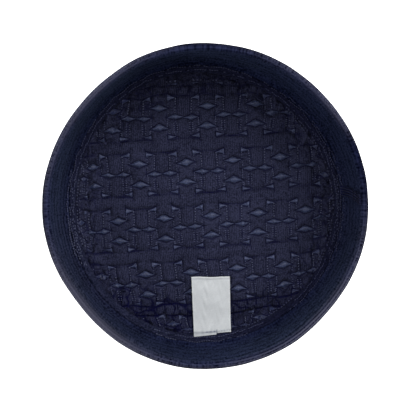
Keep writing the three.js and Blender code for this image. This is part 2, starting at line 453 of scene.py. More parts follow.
print("stage: the quilted crown")
quilt = {
    "origin": (5.1, -13.68),  # middle of the pattern's first block, in mm
    "motifStep": (29.35, 1.9),  # from one motif to the next along a row
    "blockStep": (-1.6, 34.37),  # from one row of blocks to the next
    "twist": (0.5, -0.17),  # how the cloth has pulled out of square
    "spreadAlong": (0.15, 0.085),
    "spreadUp": (0.18, 0.12),
    "sway": (-0.4, 0.06),  # how far every other row of blocks lies to one side
    "swayAt": 0.7,
    "motifPitch": 29.3,
    "blockPitch": 34.2,
    "columnEdge": 5.25,  # from a column of single diamonds to the bar beside it
    "barEdge": 10.8,  # and to the bar's outer edge
    "crease": 13.2,  # the channel between rows of blocks starts here
    "rise": 1.7 * mm,
    "barRise": 0.62,
    "columnOver": 0.9,  # mm by which a column's pillows run on into the channel
    "columnEnd": 0.7,  # mm into it where they are cut off
    "columnShort": 0.3,  # mm by which the columns between the bars end before it
    "bevel": 0.6,  # mm by which they lie over the bars
    "channelRise": 0.85,
    "channelLine": (0.45, 0.4, 0.9),  # depth of the lines that run on into it, mm to one side, and width
    "channelLineEnds": (14.2, 16.6),
    "pressWidth": 1.1,  # how far from a motif the cloth is pressed down
    "cellHeight": 6.85,  # of the parts of a block that differ in fullness
    "cellSpread": 0.3,  # unevenness of the pillows, as a share
    "singleAt": 6.1,
    "lean": 0.09,  # how much the lower single diamond's tips hang, as a share of the distance across
    "leanEase": -0.2,  # it comes in over the first 5 mm below the middle line
    "singleHalf": (5.3, 2.25),
    "pairAt": 9.9,
    "pairHalf": (4.5, 1.6),
    "triangleAt": 11.9,
    "triangleHalf": (4.6, 1.5),
    "fade": (79 * mm, 82 * mm),  # the quilting fades between these radii
    "edgeRise": 1.6 * mm,  # how far the gathered edge is pulled up where it goes under the tape
    "edgeUp": (75 * mm, 80.8 * mm),
    "edgeDown": (81.4 * mm, 82.3 * mm),
    "pull": 1.1 * mm,  # how far the cloth is dragged about at its gathered edge
    "pullShares": (0.25, 0.35),  # of it in the middle, and more at the edge
    "pullGrows": (58 * mm, 78 * mm),
    "pullSizes": (36 * mm, 31 * mm),
    "tuckFrom": 71 * mm,  # past here the cloth is tucked in as it curves up to the seam
    "tuckEase": 7 * mm,
    "tuck": 0.41,
    "tuckAtSides": 0.21,  # more of it at the four sides than between them
    "outsideFade": (73 * mm, 80 * mm),
    "outsideRise": 0.75 * mm,
    "backRings": (1.0, 0.94, 0.885, 0.843, 0.4),  # radii of each layer's plain back, as shares
    "insideSteps": 300,
    "outsideSteps": 200,
}
# Gathers of the crown's edge. A crack is where a noise is within its width of zero.
gathers = {
    "rise": 0.95 * mm,
    "grow": (67 * mm, 74 * mm),
    "end": (81.5 * mm, 82.5 * mm),
    "size": 15 * mm,
    "crackDepth": 1.1,
    "crackWidth": 0.1,
    "round": 80,  # mm from the axis, to measure lengths round the cap
    "radialStretch": 0.35,  # the cracks that run in from the seam are about three times as long as wide
    "radialSize": 7.5,
    "radialDepth": 0.8,
    "radialWidth": 0.09,
    "radialGrow": (71 * mm, 77 * mm),
    "patchSize": 24 * mm,
    "patches": (-0.5, 0.3),  # there are cracks where a wide noise passes these values
}


# Drag of the cloth near the seam: two soft noises, growing from 58 to 78 mm from the middle
def edgeDrag(x, y):
    least, more = quilt["pullShares"]
    pull = quilt["pull"] * (least + more * eased(np.hypot(x, y), *quilt["pullGrows"]))
    sizeX, sizeY = quilt["pullSizes"]
    return pull * softNoise(x, y, sizeX, 0.4, 1), pull * softNoise(x, y, sizeY, 2.3, 2)


# Tuck: past a radius, a place moves in by a share of s^2 / (s + 7 mm), with s how far past it is
def tuckedIn(x, y):
    angle, radius = np.arctan2(y, x), np.hypot(x, y)
    past = np.maximum(radius / outlineFactor(angle) - quilt["tuckFrom"], 0)
    share = quilt["tuck"] + quilt["tuckAtSides"] * np.cos(4 * angle)
    keep = 1 - share * past**2 / (past + quilt["tuckEase"]) / np.maximum(radius, mm)
    return x * keep, y * keep


# Place of the cloth: origin + motifs * motifStep + blocks * blockStep + small products and squares of the two
# + sway * cos(pi * blocks + swayAt)
def patternPlace(motifs, blocks):
    sway = np.cos(np.pi * blocks + quilt["swayAt"])
    shares = (1, motifs, blocks, motifs * blocks, motifs**2, blocks**2, sway)
    keys = ("origin", "motifStep", "blockStep", "twist", "spreadAlong", "spreadUp", "sway")
    flat = [mm * sum(quilt[key][k] * share for key, share in zip(keys, shares)) for k in (0, 1)]
    dragX, dragY = edgeDrag(*flat)
    return tuckedIn(flat[0] + dragX, flat[1] + dragY)


# The reverse: the flat part of the formula solved for what is still missing, ten times over
def patternCoordinates(x, y):
    (ax, ay), (bx, by) = quilt["motifStep"], quilt["blockStep"]
    area = (ax * by - bx * ay) * mm
    motifs, blocks = x * 0, y * 0
    for _ in range(10):
        px, py = patternPlace(motifs, blocks)
        motifs = motifs + ((x - px) * by - (y - py) * bx) / area
        blocks = blocks + ((y - py) * ax - (x - px) * ay) / area
    return motifs, blocks


# Half a circle's height across a stretch from low to high
def dome(value, low, high):
    share = np.clip((value - low) / np.maximum(high - low, 1e-6), 0, 1)
    return np.sqrt(np.maximum(4 * share * (1 - share), 0))


# Distance in mm to the nearest embroidered motif of a block, below 0 inside it.
# A diamond: |across|/half width + |up|/half height - 1, times the distance from its middle to a side.
def motifDistance(across, up, lowest, highest):
    def diamond(fromMiddle, fromLine, half):
        reach = half[0] * half[1] / math.hypot(*half)
        return (abs(fromMiddle) / half[0] + abs(fromLine) / half[1] - 1) * reach

    long, high = quilt["triangleHalf"]
    lean = highest(lowest(up * quilt["leanEase"], 1.0), 0.0) * quilt["lean"]
    fromSingle = diamond(across, abs(up) - across * lean - quilt["singleAt"], quilt["singleHalf"])
    fromPair = diamond(across - quilt["pairAt"], up, quilt["pairHalf"])
    slant = (across - quilt["columnEdge"]) * (high / long)
    wedge = abs(abs(up) - quilt["triangleAt"]) + slant - high
    fromTriangle = highest(wedge, (across - quilt["columnEdge"]) * -1.0)
    return lowest(lowest(fromSingle, fromPair), fromTriangle)


# Place within a block in mm: across from a column of single diamonds, and up from the block's middle line.
# Every other row of blocks is shifted by half a motif.
def blockPlace(motifs, blocks):
    block = np.round(blocks)
    shifted = motifs - 0.5 * (block % 2)
    motif = np.round(shifted)
    return (shifted - motif) * quilt["motifPitch"], (blocks - block) * quilt["blockPitch"], motif, block


# Relief of the quilting, 0 in a crease and about 1 on a pillow: domes across the columns times domes up the
# rows, pressed down near the motifs by 1 - exp(-(distance/1.1)^2)
def quiltRelief(x, y):
    motifs, blocks = patternCoordinates(x, y)
    across, up, motif, block = blockPlace(motifs, blocks)
    side = np.sign(across)
    across, height = np.abs(across), np.abs(up)
    edge, bar, crease, single = (quilt[key] for key in ("columnEdge", "barEdge", "crease", "singleAt"))
    upperDome = dome(height, single, crease + quilt["columnOver"])
    columnA = dome(across, -edge, edge) * np.where(height < single, dome(height, -single, single), upperDome)
    bars = quilt["barRise"] * dome(across, edge, bar) * dome(height, 0, quilt["triangleAt"])
    columnB = dome(across, bar - quilt["bevel"], quilt["motifPitch"] - bar + quilt["bevel"])
    columnB = columnB * dome(height, 0, crease - quilt["columnShort"])
    pillows = np.where(across < edge, columnA, np.where(across < bar, bars, columnB))
    depth, aside, width = quilt["channelLine"]
    lines = depth * hill(across, edge - aside, width) * (1 - eased(height, *quilt["channelLineEnds"]))
    channel = dome(height, crease, quilt["blockPitch"] - crease) * (1 - lines)
    onPillow = (height < crease) | ((across < edge) & (height < crease + quilt["columnEnd"]))
    inside = np.where(onPillow, pillows, quilt["channelRise"] * channel)
    distance = motifDistance(across, up, np.minimum, np.maximum)
    press = 1 - hill(np.maximum(distance, 0), 0, quilt["pressWidth"])
    part = np.floor((up + quilt["blockPitch"] / 2) / quilt["cellHeight"])
    cell = scatter(motif + 0.3 * side * (across > edge), block, part)
    uneven = 1 + quilt["cellSpread"] * (cell - 0.5) * 2 * np.minimum(inside, 1)
    return inside * uneven * press, motifs, blocks


# The crown's outside: flat, and past the flat part the square of the distance over twice the curve's radius
def crownUnderside(radius):
    beyond = np.maximum(0, radius - cap["crownFlat"])
    return beyond**2 / (2 * cap["crownCurve"])


# Gathers at the seam: folds that run in towards the middle, with narrow cracks where a noise crosses zero
def edgeGathers(x, y, radius):
    zone = between(radius, gathers["grow"], gathers["end"])
    folds = softNoise(x, y, gathers["size"], 0.9, 2)
    cracks = hill(softNoise(x, y, gathers["size"], 3.1, 2), 0, gathers["crackWidth"])
    inwards = radius / mm * gathers["radialStretch"]
    around = np.arctan2(y, x) * gathers["round"]
    radial = softNoise(around, inwards, gathers["radialSize"], 4.2, 2)
    radial = gathers["radialDepth"] * hill(radial, 0, gathers["radialWidth"])
    cracks = np.maximum(cracks, radial * eased(radius, *gathers["radialGrow"]))
    patches = eased(softNoise(x, y, gathers["patchSize"], 5.0, 1), *gathers["patches"])
    return zone * folds, zone * cracks * patches


# Radius on the crown, with the cap's outline taken out
def crownDistance(x, y):
    return np.hypot(x, y) / outlineFactor(np.arctan2(y, x))


# How far the crown's edge is pulled up to the tape
def edgeLift(radius):
    return quilt["edgeRise"] * (eased(radius, *quilt["edgeUp"]) - eased(radius, *quilt["edgeDown"]))


# Level of the crown's creases: its underside plus the cloth, the gathers, and the pull up to the tape
def crownCreases(x, y):
    radius = crownDistance(x, y)
    folds, cracks = edgeGathers(x, y, radius)
    gathered = gathers["rise"] * (folds - gathers["crackDepth"] * cracks)
    return crownUnderside(radius) + cap["crownCloth"] + gathered + edgeLift(radius), cracks, folds


# Level of the crown's inside: its creases plus the quilting, which fades at the seam
def crownTop(x, y):
    relief, motifs, blocks = quiltRelief(x, y)
    fade = 1 - eased(crownDistance(x, y), *quilt["fade"])
    level, cracks, folds = crownCreases(x, y)
    return level + quilt["rise"] * fade * relief, motifs, blocks, cracks, folds


# Level of the crown's outside: the same creases drawn up from the flat
def crownBottom(x, y):
    radius = crownDistance(x, y)
    relief, motifs, blocks = quiltRelief(x, y)
    fade = 1 - eased(radius, *quilt["outsideFade"])
    level = crownUnderside(radius) + quilt["outsideRise"] * fade * (1 - np.minimum(relief, 1))
    return level, motifs, blocks, relief * 0, relief * 0


# Square to disc: x = u sqrt(1 - v^2/2), y = v sqrt(1 - u^2/2), then out to the crown's own outline
def crownGrid(steps):
    line = np.linspace(-1, 1, steps + 1)
    u, v = np.meshgrid(line, line)
    x, y = u * np.sqrt(1 - v * v / 2), v * np.sqrt(1 - u * u / 2)
    reach = cap["crownRadius"] * outlineFactor(np.arctan2(y, x))
    return x * reach, y * reach


# One layer of the crown: its shown face on the grid, closed behind by a few plain rings at a given depth
def crownLayer(name, steps, level, backOffset, facesUp, material):
    x, y = crownGrid(steps)
    z, motifs, blocks, cracks, folds = level(x, y)
    face = np.stack([x, y, z], -1).reshape(-1, 3)
    uv = np.stack([motifs, blocks], -1).reshape(-1, 2)
    side = steps + 1
    index = np.arange(side * side).reshape(side, side)
    edge = np.concatenate([index[0, :-1], index[:-1, -1], index[-1, :0:-1], index[:0:-1, 0]])
    shares = np.array(quilt["backRings"])[:, None]
    rings = face[edge] * shares[..., None]
    rings[..., 2] = crownUnderside(shares * cap["crownRadius"]) + backOffset
    points = np.concatenate([face, rings.reshape(-1, 3), [[0, 0, backOffset]]])
    loops = np.concatenate([[edge], len(face) + np.arange(len(shares) * len(edge)).reshape(len(shares), -1)])
    first, second = loops[:-1], loops[1:]
    back = np.stack([first, second, np.roll(second, -1, 1), np.roll(first, -1, 1)], -1).reshape(-1, 4)
    centre = np.full(len(edge), len(points) - 1)
    fan = np.stack([loops[-1], centre, np.roll(loops[-1], -1)], -1)
    quads = np.concatenate([gridQuads(side, side), back])
    if not facesUp:
        quads, fan = quads[:, ::-1], fan[:, ::-1]
    extra = len(points) - len(face)
    uv = np.concatenate([uv, np.zeros((extra, 2))])
    # The gathers' cracks and folds, for the material's painted shade and light
    attributes = {"crack": cracks, "fold": folds}
    attributes = {key: np.concatenate([value.ravel(), np.zeros(extra)]) for key, value in attributes.items()}
    return makeMesh(name, points, quads, fan, uv=uv, attributes=attributes, material=material)


quiltLook = {
    "dark": (0.0060, 0.0068, 0.0170),
    "light": (0.0308, 0.0334, 0.0695),
    "surface": clothSurface(0.92, 0.05, 0.06, 0.55, (0.55, 0.58, 0.8)),
    "groove": (0.38, 0.36, 0.78),  # painted shade in the groove beside a motif: mm from its edge, width in mm, and how dark it is
    # Painted shade in a block's creases and along its stitched lines, as dark lines: where in mm, width in
    # mm, how dark, and stretches up it between which they show
    "above": (14.1, 0.5, 0.6),
    "below": (13.5, 0.7, 0.62),
    "lineSlopes": (1.2, 0.4),  # mm by which these two rise beside a bar
    "lineStarts": 0.6,  # mm before the bar
    "bar": (10.9, 0.35, 0.35, (2.0, 3.4), (10.2, 11.6)),
    "waist": (4.7, 0.45, 0.5),
    "waistEnds": (1.4, 3.4),
    # painted shade in the channel beside a column's edge
    "channelShade": (4.6, 0.7, 0.4),
    "channelShadeUp": (15.2, 1.1),
    "dots": (9.9, 0.55, 0.52, (2.4, 3.2), (11.2, 12.0)),
    "innerDots": (5.5, 0.5, 0.42, (6.2, 6.8), (9.6, 10.4)),
    "rungs": (9.95, 1.3, 0.5),
    "rungsUp": (-6.3, 3.2),
    "unevenSize": 120.0,  # of the noise that makes these lines weaker and stronger
    "unevenPasses": (0.34, 0.66),
    "uneven": (0.9, 0.55),
    # painted shade in the gathers' cracks
    "crackShade": 0.8,
    # Where the cloth is gathered, its creases are deep and sharp, drawn as painted shade
    "deepGrows": (60 * mm, 74 * mm),
    "deepPatches": (0.38, 0.52),
    "deepTone": 0.75,
    "deepWidths": (0.5, 0.44),  # of the upright creases at a column's edge and at a bar's
    "deepBarStarts": (1.6, 2.6),
    "deepChannel": (14.0, 0.75),
    "deepChannelSlope": 0.9,
    "deepMiddle": (0.2, 0.4),
    "deepMiddleStarts": (13.0, 13.8),
    "wanderSize": 75.0,
    "wander": (0.5, 0.022, 0.9),  # value of the noise, its width there, and how dark: painted shade in wandering creases
    # Towards the label the creases' painted shade begins nearer the middle and is darker, and the cloth near
    # the seam there gets painted shade too
    "labelGrows": (26 * mm, 66 * mm),
    "labelDeepGrows": (56 * mm, 66 * mm),
    "labelDeepTone": 0.3,
    "labelDimGrows": (64 * mm, 76 * mm),
    "labelDim": 0.26,
    "patchSize": 55.0,
    "patchTone": 0.8,
    "ribPitch": 1.12,  # mm between the fine upright ribs
    "ribSway": 1.2,
    "ribHeight": 0.10 * mm,
    "ribTone": 0.6,
    "ribAcross": (9.5, 11.0),  # they are clearer past here in a block
    "ribUp": (13.0, 14.5),
    "ribShares": (0.6, 0.4),
    "grainSize": 1300.0,
    "grainHeight": 0.16 * mm,
    "grainTone": 2.6,
    # painted light and shade on the gathered lumps: lighter where the folds rise
    "foldTone": 0.2,
    "shadeHeight": 0.35 * mm,
    # Painted light and shade: lighter or darker towards these degrees, growing between these distances from
    # the middle
    "tonePlaces": ((228, 0.12), (318, -0.13), (105, -0.08), (3, 0.17)),
    "toneGrows": (25 * mm, 75 * mm),
}


# Quilted cloth. Painted shade in dark grooves follows the motifs' outlines and the creases, from the place
# within a block: a hill on the distance to the nearest motif, and hills across the crease lines. Fine ribs
# run up the cloth.
def makeQuiltMaterial(look):
    material, tree, shader = newMaterial("navyQuilt", look["surface"])
    place, axes = objectAxes(tree)
    motifs, blocks = uvAxes(tree)
    block = blocks.step("ROUND")
    up = (blocks - block) * quilt["blockPitch"]
    shifted = motifs - block.step("FLOORED_MODULO", 2.0) * 0.5
    across = abs(shifted - shifted.step("ROUND")) * quilt["motifPitch"]
    tall = abs(up)

    # A line of the look across one value, kept between stretches of the other where the look gives them
    def line(name, value, other=None):
        at, width, strength, *stretches = look[name]
        dark = value.hill(at, width) * strength
        return dark * other.between(*stretches) if stretches else dark

    edge, bar = quilt["columnEdge"], quilt["barEdge"]
    beside = across.rise(edge - look["lineStarts"], edge)
    slope = across.rise(edge, bar)
    aboveSlope, belowSlope = look["lineSlopes"]
    creases = highestOf(
        line("above", up + slope * aboveSlope) * beside,
        line("below", up * -1.0 + slope * belowSlope) * beside,
        line("bar", across, tall),
        line("waist", across) * (1 - tall.rise(*look["waistEnds"])),
        line("channelShade", across) * tall.hill(*look["channelShadeUp"]),
    )
    spread, least = look["uneven"]
    uneven = noiseOf(tree, place, look["unevenSize"], 1.0).rise(*look["unevenPasses"]) * spread + least
    creases = highestOf(
        creases * uneven,
        line("groove", motifDistance(across, up, Signal.lowest, Signal.highest)),
        line("dots", across, up),
        line("innerDots", across, up),
        line("rungs", across) * up.hill(*look["rungsUp"]),
        attributeOf(tree, "crack") * look["crackShade"],
    )

    patches = noiseOf(tree, place, look["patchSize"], 3.0)
    radius = fromMiddle(axes)
    towardsLabel = (axes[1] * -1.0).rise(*look["labelGrows"])
    atEdge, atBar = look["deepWidths"]
    deep = highestOf(
        across.hill(edge, atEdge),
        across.hill(bar, atBar) * tall.rise(*look["deepBarStarts"]),
        (tall + slope * look["deepChannelSlope"]).hill(*look["deepChannel"]),
        tall.hill(*look["deepMiddle"]) * across.rise(*look["deepMiddleStarts"]),
        line("wander", noiseOf(tree, place, look["wanderSize"], 1.0)),
    )
    nearSeam = radius.rise(*look["deepGrows"]) * patches.rise(*look["deepPatches"])
    nearSeam = nearSeam.highest(towardsLabel * radius.rise(*look["labelDeepGrows"]))
    deep = deep * nearSeam * (towardsLabel * look["labelDeepTone"] + look["deepTone"])
    dim = 1 - radius.rise(*look["labelDimGrows"]) * towardsLabel * look["labelDim"]
    # Painted shade: darker in the creases, in the grooves beside the motifs, along the stitched lines, in the
    # gathers' cracks and towards the label
    shade = (1 - creases.highest(deep)) * dim

    grain = noiseOf(tree, place, look["grainSize"], 1.0)
    sway = motifs * quilt["motifPitch"] + patches * look["ribSway"]
    ribs = sway.ripple(look["ribPitch"])
    more, least = look["ribShares"]
    inRibs = across.rise(*look["ribAcross"]).highest(tall.rise(*look["ribUp"])) * more + least
    tone = (grain - 0.5) * look["grainTone"] + (patches - 0.5) * look["patchTone"]
    tone = tone + (ribs - 0.5) * inRibs * look["ribTone"]
    tone = tone + attributeOf(tree, "fold") * look["foldTone"] + 0.5
    # painted light and shade towards given directions
    for degrees, change in look["tonePlaces"]:
        tone = tone + towards(axes, degrees).rise(*look["toneGrows"]) * change
    paint(tree, shader, look, tone, shade)
    height = grain * look["grainHeight"] + ribs * inRibs * look["ribHeight"]
    raiseBump(tree, shader, height + shade * look["shadeHeight"])
    return material


quilted = makeQuiltMaterial(quiltLook)
crownInside = crownLayer("crown_inside", quilt["insideSteps"], crownTop, 1.05 * mm, True, quilted)
crownOutside = crownLayer("crown_outside", quilt["outsideSteps"], crownBottom, 0.95 * mm, False, quilted)
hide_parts("crown")

print("stage: the embroidered diamonds and triangles")
satin = {
    "threadPitch": 0.5,  # mm between neighbouring threads
    "ringsPerThread": 2.4,
    "thinnest": 0.09,  # mm, half the height at a motif's tips
    "swell": 0.8,  # how much of a thread's height is its dome
    "tipHeight": 0.35,  # share of the height at a tip, growing to all of it at this half height in mm
    "tipEase": 1.2,
    "ridge": 0.22 * mm,
    "sink": 0.3 * mm,
    "reach": 80.6 * mm,  # motifs past here are under the seam
    "topReach": 3 * mm,  # and this much nearer where the cloth is gathered, towards +Y
    "topWidth": 0.4,  # half the angle of that part
    "uneven": 0.22,  # mm that a motif may be out of its place
    "unevenLength": 0.1,
    "flatFrom": 74 * mm,  # the motifs are drawn flat, and darker by a painted shade, from here out
    "flatTo": 80.5 * mm,
    "flatness": 0.7,
    "flatShade": 0.4,
    "outsideAt": 0.7 * mm,  # above the crown's underside
    "outsideShare": 0.6,
    "lowest": 0.02 * mm,
    "dark": (0.0105, 0.0160, 0.0480),
    "light": (0.0405, 0.0520, 0.1140),
    "grain": 1050.0,
    "contrast": 3.2,
    "surface": clothSurface(0.5, 0.3, 0.08, 0.4, (0.6, 0.65, 0.9)),
}
# The triangles' thread is the same satin painted lighter: painted light
triangleSatin = dict(satin, dark=(0.015, 0.021, 0.058), light=(0.054, 0.067, 0.140))

# Height of each kind of motif above the creases, in mm
motifHeights = {"single": 1.25, "pair": 1.1, "triangle": 1.05}
# Each motif's upper and lower edge as corners in mm from its block's middle, across and up
motifTable = {
    "upper_single": {
        "upper": [(-5.6, 6.1), (-3.6, 6.6), (-1.6, 7.9), (-0.1, 8.6), (1.4, 8.0), (3.2, 6.7), (5.3, 6.1)],
        "lower": [(-5.6, 6.1), (-3.0, 5.3), (-0.9, 4.2), (0.2, 3.9), (1.2, 4.3), (3.0, 5.3), (5.3, 6.1)],
    },
    "lower_single": {
        "upper": [
            (-5.9, -6.8), (-3.6, -5.9), (-1.7, -4.5), (-0.1, -4.0), (1.6, -4.5), (3.6, -5.8), (5.9, -6.9)
        ],
        "lower": [(-5.9, -6.8), (-2.3, -7.1), (0.1, -8.2), (2.3, -7.1), (5.9, -6.9)],
    },
    "left_pair": {
        "upper": [(-14.6, 0.1), (-11.5, 0.8), (-9.75, 1.7), (-8.2, 0.8), (-5.6, 0.1)],
        "lower": [(-14.6, 0.1), (-11.8, -0.7), (-9.75, -1.5), (-8.0, -0.7), (-5.6, 0.1)],
    },
    "right_pair": {
        "upper": [(5.2, 0.1), (7.8, 0.9), (9.6, 1.8), (11.4, 0.9), (14.6, 0.0)],
        "lower": [(5.2, 0.1), (7.9, -0.7), (9.8, -1.5), (11.8, -0.7), (14.6, 0.0)],
    },
    "upper_left_triangle": {
        "upper": [(-10.1, 11.8), (-7.6, 12.6), (-5.4, 13.7), (-5.15, 13.5)],
        "lower": [(-10.1, 11.8), (-7.2, 11.3), (-5.4, 10.5), (-5.15, 10.7)],
    },
    "upper_right_triangle": {
        "upper": [(5.05, 13.4), (5.3, 13.7), (7.4, 12.7), (10.0, 11.8)],
        "lower": [(5.05, 10.7), (5.3, 10.4), (7.2, 11.2), (10.0, 11.8)],
    },
    "lower_left_triangle": {
        "upper": [(-10.0, -11.7), (-7.4, -11.3), (-5.5, -10.6), (-5.2, -10.8)],
        "lower": [(-10.0, -11.7), (-7.6, -12.1), (-5.5, -13.1), (-5.2, -12.8)],
    },
    "lower_right_triangle": {
        "upper": [(5.05, -10.9), (5.3, -10.7), (7.3, -11.3), (9.9, -11.8)],
        "lower": [(5.05, -13.0), (5.3, -13.2), (7.4, -12.3), (9.9, -11.8)],
    },
}


# The blocks whose motif at this place in them is inside the seam, as motif and block numbers
def blocksAround(across, up):
    motif, block = np.meshgrid(np.arange(-4, 5), np.arange(-3, 4))
    motif = (motif + 0.5 * (block % 2)).ravel() + across / quilt["motifPitch"]
    block = block.ravel() + up / quilt["blockPitch"]
    x, y = patternPlace(motif, block)
    nearTop = hill(np.arctan2(y, x), math.pi / 2, satin["topWidth"])
    inside = crownDistance(x, y) < satin["reach"] - satin["topReach"] * nearTop
    return motif[inside], block[inside]


# Satin stitch: a ridge for each thread across the motif, and along each thread a low dome between its ends,
# which lie on straight lines between the motif's corners
def satinRings(shape, tall, inside):
    left, right = shape["upper"][0][0], shape["upper"][-1][0]
    steps = int(satin["ringsPerThread"] * (right - left) / satin["threadPitch"])
    across = np.linspace(left, right, steps + 1)
    upper, lower = (np.interp(across, *np.array(shape[key]).T) for key in ("upper", "lower"))
    middle, half = (upper + lower) / 2, np.maximum((upper - lower) / 2, satin["thinnest"])
    along = np.array([-1.0, -0.6, 0.0, 0.6, 1.0])
    swell = 1 - satin["swell"] + satin["swell"] * np.sqrt(1 - along**2)
    tip = satin["tipHeight"]
    body = tall * mm * np.minimum(1, tip + (1 - tip) * half / satin["tipEase"])
    thread = satin["ridge"] * np.abs(np.sin(np.pi * across / satin["threadPitch"]))
    lift = (body - thread)[:, None] * swell
    lift = np.concatenate([lift, np.full((len(across), 2), -satin["sink"])], 1)
    up = middle[:, None] + half[:, None] * np.concatenate([along, along[[3, 1]]])
    centreAcross, centreUp = (left + right) / 2, (upper.max() + lower.min()) / 2
    motif, block = (numbers[:, None, None] for numbers in blocksAround(centreAcross, centreUp))
    count = np.arange(len(motif))[:, None, None]
    slipAcross = satin["uneven"] * (scatter(count, centreAcross, 1) - 0.5) * 2
    slipUp = satin["uneven"] * (scatter(count, centreUp, 2) - 0.5) * 2
    stretch = 1 + satin["unevenLength"] * (scatter(count, centreUp, 3) - 0.5)
    moved = motif + (stretch * (across - centreAcross)[:, None] + slipAcross) / quilt["motifPitch"]
    raised = block + (up - centreUp + slipUp) / quilt["blockPitch"]
    x, y = patternPlace(*np.broadcast_arrays(moved, raised))
    if inside:
        flat = 1 - satin["flatness"] * eased(crownDistance(x, y), satin["flatFrom"], satin["flatTo"])
        return np.stack([x, y, crownCreases(x, y)[0] + lift * flat], -1)
    under = crownUnderside(crownDistance(x, y)) + satin["outsideAt"] - satin["outsideShare"] * lift
    return np.stack([x, y, np.maximum(under, satin["lowest"])], -1)[:, :, ::-1]


# Thread or tape with a fine grain, with painted shade towards the seam, and painted shade and light towards
# given directions, where the look says so
def makeThreadMaterial(name, look):
    material, tree, shader = newMaterial(name, look["surface"])
    place, axes = objectAxes(tree)
    grain = noiseOf(tree, place, look["grain"])
    shade = None
    # painted shade on the motifs near the seam
    if "flatFrom" in look:
        shade = 1 - fromMiddle(axes).rise(look["flatFrom"], look["flatTo"]) * look["flatShade"]
    # painted shade towards given directions, and painted light where the change is below zero
    for degrees, change in look.get("shadedPlaces", ()):
        shaded = towards(axes, degrees).rise(*look["shadedGrows"]) * -change + 1
        shade = shaded if shade is None else shade * shaded
    paint(tree, shader, look, (grain - 0.5) * look["contrast"] + 0.5, shade)
    raiseBump(tree, shader, grain * (0.08 * mm))
    return material


satinMaterial = makeThreadMaterial("navySatinStitch", satin)
triangleMaterial = makeThreadMaterial("navyTriangleStitch", triangleSatin)


def makeSatinMotifs(side, inside):
    for name, shape in motifTable.items():
        kind = name.split("_")[-1]
        material = triangleMaterial if kind == "triangle" else satinMaterial
        piece = threadMesh(f"{name}_{side}", satinRings(shape, motifHeights[kind], inside), material)


makeSatinMotifs("inside", True)
makeSatinMotifs("outside", False)

print("stage: the band")
band = {
    "columns": 420,
    "rows": 120,
    "round": 95,  # mm from the axis, to measure lengths round the cap
    "wave": 0.22,  # mm of the wall's soft waves, and of the small puckers at the seam
    "waveSize": 60.0,
    "waveHeights": ((12, 40), (66, 76)),
    "pucker": 0.16,
    "puckerSize": 6.5,
    "puckerStretch": 0.3,  # they are about three times as tall as wide
    "puckerHeights": ((6, 9), (12, 20)),
    "coursePitch": 1.68,  # mm between the fine lines round the wall, as seen from above
    "courseAt": 93.04,  # one of the pale ones
    "courseTone": 0.9,
    "courseSway": 1.2,
    "courseHeight": 0.07 * mm,
    "grainTone": 2.3,
    "grainSize": (1.15, 3.4),  # mm round the cap and up its wall
    "paintedLightGrain": 2.2,  # mm less up the wall where the light is painted
    "grainHeight": 0.10 * mm,
    "patchSize": 35.0,
    "patchTone": 0.9,
    "blotchSize": 210.0,
    "blotchTone": 1.1,
    "blueKept": 0.12,
    "outlineShade": 0.8,  # how much painted shade darkens the rim's outer side
    "outsideCalm": 0.5,  # how much more even the band's outside is
    "outsideShade": 0.45,  # and how much painted shade it gets, as it faces the lamps
    "outsideTint": (0.0082, 0.0092, 0.0205),
    "outsideTinted": 0.6,  # and how far it goes to that colour
    "dark": (0.0013, 0.0022, 0.0103),
    "light": (0.0168, 0.0220, 0.0610),
    "surface": clothSurface(0.95, 0.0, 0.052, 0.4, (0.40, 0.55, 0.90)),
    "sheenTones": (1.2, 0.8, 0.7),  # how much grain, blotches and courses change the sheen
    "highlightColour": (0.061, 0.062, 0.092),  # colour of the painted highlight on the rim and of the painted light on the wall
    "highlightTones": (3.2, 1.4, 0.75),  # how much grain and courses change the painted highlight, and how much there is
    "fluffRise": 0.5,  # mm that the knit stands out beyond the cloth
    # Places round the cap, each as degrees, width in degrees and strength, and perhaps values that it comes
    # in between: the painted highlight on the rim, most at its four corners
    "paintedLightPlaces": (
        (135, 24, 0.68), (224, 24, 0.64), (315, 24, 0.46), (48, 24, 0.38), (36, 9, 0.24), (53, 9, -0.1),
        (21, 9, -0.14), (164, 9, 0.2), (184, 9, -0.07), (284, 9, 0.24), (-13, 9, 0.05),
    ),
    "paintedLightAllRound": 0.16,
    "paintedLightLess": ((90, 30, -0.13), (12, 22, -0.14)),
    "paintedLightHeights": (60, 74),
    "paintedLightRadii": (90.2, 93.5),
    "paintedLightBelow": (0.07, 45, 72),
    "paintedLightWall": ((206, 36, 0.16, 92.5, 88), (-8, 24, 0.09)),  # painted light on the wall, by the radius seen from above
    "paintedLightUpper": ((224, 27, 0.50, 38, 73), (318, 22, 0.30, 48, 73)),  # painted light on the upper wall, by height
    # painted shade: the dark outline of the rim, and other dark places, by the radius seen from above
    "outline": (93.7, 94.9),
    "outlineUnderLight": 0.9,
    "darkPlaces": ((15, 22, 0.6, 90.9, 93.0), (154, 16, 0.22, 92, 90.5)),
    # and where the courses show, on the wall and on the rim
    "linedAllRound": 0.25,
    "linedPlaces": ((193, 20, 0.3, 91, 88), (307, 28, 0.7, 88, 91)),
    "facing": (0.3, 0.9),  # the outside is where the wall turns outwards
    "outsideUpTo": (70, 58),
}
# Each row is a corner of the band's wall, up the outside, over the rim and down the inside: radius and height
# in mm, and lift from 0 at the crown's seam to 1 at the rim
rim = cap["rimRadius"] / mm + band["fluffRise"]
bandCorners = np.array(
    [
        (83.4, 3.7, 0), (86.6, 5.4, 0.02), (89.4, 9.4, 0.08), (91.6, 16, 0.18), (93.2, 27, 0.34),
        (94.3, 46, 0.6), (rim, 69, 1), (rim - 0.7, 74.2, 1), (rim - 2.4, 76, 1), (rim - 4.1, 74.4, 1),
        (rim - 4.7, 70.4, 1),
        (rim - 4.1, 64, 0.9), (90.6, 46, 0.6), (89.5, 27, 0.34), (87.9, 16, 0.18), (86.2, 11.8, 0.08),
        (85.4, 10.3, 0.05), (84.9, 8.8, 0.03), (83.4, 6, 0),
    ]
)


